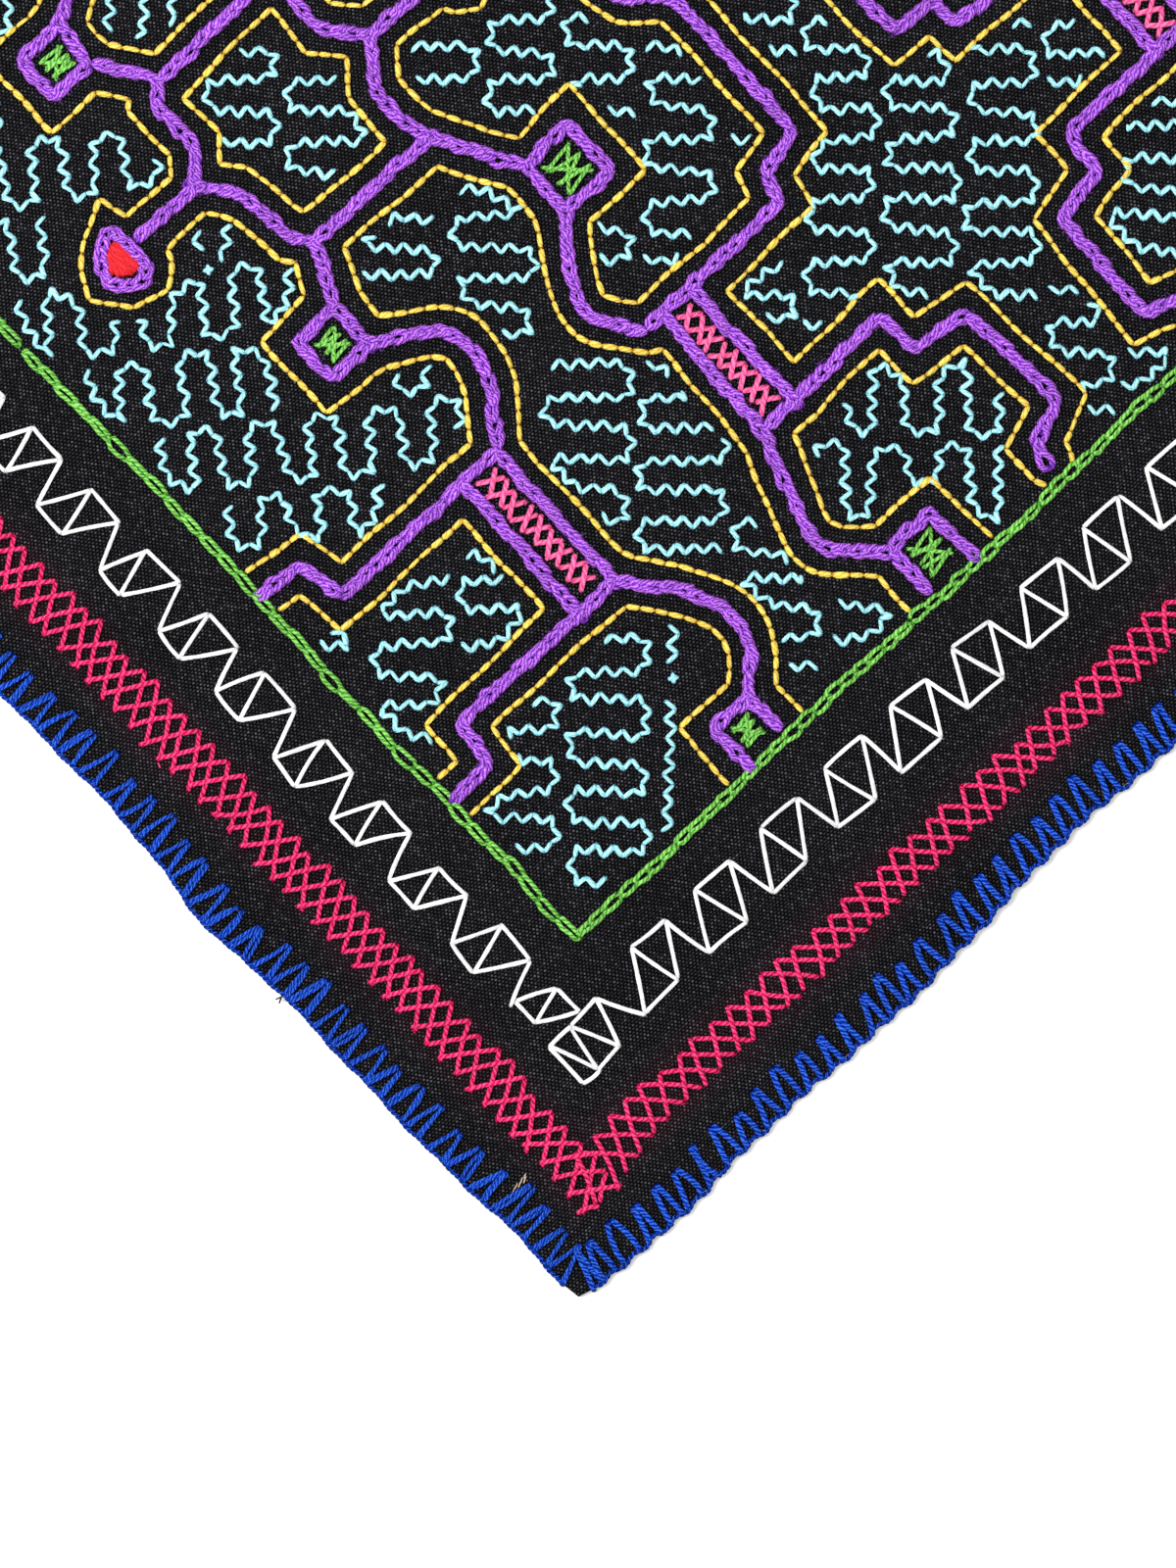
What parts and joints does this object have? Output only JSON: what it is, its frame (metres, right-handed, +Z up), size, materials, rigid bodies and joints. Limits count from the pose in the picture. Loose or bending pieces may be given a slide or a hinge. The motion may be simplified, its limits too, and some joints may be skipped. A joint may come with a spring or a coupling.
{
  "type": "embroidered cloth",
  "caption": "Square black cotton cloth that lies flat, embroidered all over with chain stitch line work inside stitched borders and an overcast edge.",
  "frame": {"origin": "under the middle of the cloth, on the surface that it lies on", "axes": "+X along the lower edge, +Y along the left edge, +Z up through the cloth's thickness"},
  "size_m": [0.386, 0.3977, 0.0028],
  "materials": {
    "ground_cloth": "black plain weave, matt",
    "purple_thread": "plied yarn in chain stitch, soft sheen",
    "green_thread": "plied yarn in chain stitch, soft sheen",
    "crimson_thread": "plied thread in crossed stitches, soft sheen",
    "blue_thread": "plied thread in overcast stitches, soft sheen",
    "red_thread": "stranded thread in filling stitches, soft sheen",
    "yellow_thread": "stranded thread in back stitch, soft sheen",
    "light_blue_thread": "stranded thread in zigzag back stitch, soft sheen",
    "white_thread": "stranded thread in long straight stitches, soft sheen",
    "pink_thread": "stranded thread in cross stitch, soft sheen"
  },
  "bodies": {
    "root": {"ground_cloth": "ground_cloth", "purple_chain_left": "purple_thread", "purple_chain_right": "purple_thread", "green_chain_frame": "green_thread", "crimson_cross_band": "crimson_thread", "blue_edge_cord": "blue_thread", "outer_drop_left": "purple_thread", "outer_drop_right": "purple_thread", "inner_drop_left": "purple_thread", "inner_drop_right": "purple_thread", "outer_drop_fill_left": "red_thread", "outer_drop_fill_right": "red_thread", "inner_drop_fill_left": "red_thread", "inner_drop_fill_right": "red_thread"}
  },
  "joints": []
}
